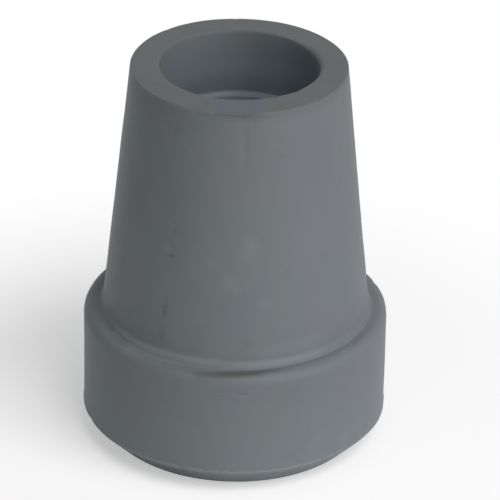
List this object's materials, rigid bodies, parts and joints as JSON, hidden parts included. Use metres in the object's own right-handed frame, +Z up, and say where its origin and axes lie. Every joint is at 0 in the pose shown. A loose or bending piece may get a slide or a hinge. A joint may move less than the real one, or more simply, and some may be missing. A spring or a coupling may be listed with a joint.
{
  "type": "cane tip",
  "caption": "Grey moulded rubber cane tip: a tapering neck on a wide bevelled collar, with a stepped blind bore that takes the end of a shaft.",
  "frame": {"origin": "centre of the flat foot, on the surface that the tip stands on", "axes": "+Z up the axis of the bore, out of its mouth; X and Y are any two directions across the axis"},
  "size_m": [0.037, 0.037, 0.0482],
  "materials": {
    "rubber": "matt moulded grey"
  },
  "bodies": {
    "root": {"rubber_tip": "rubber"}
  },
  "joints": []
}
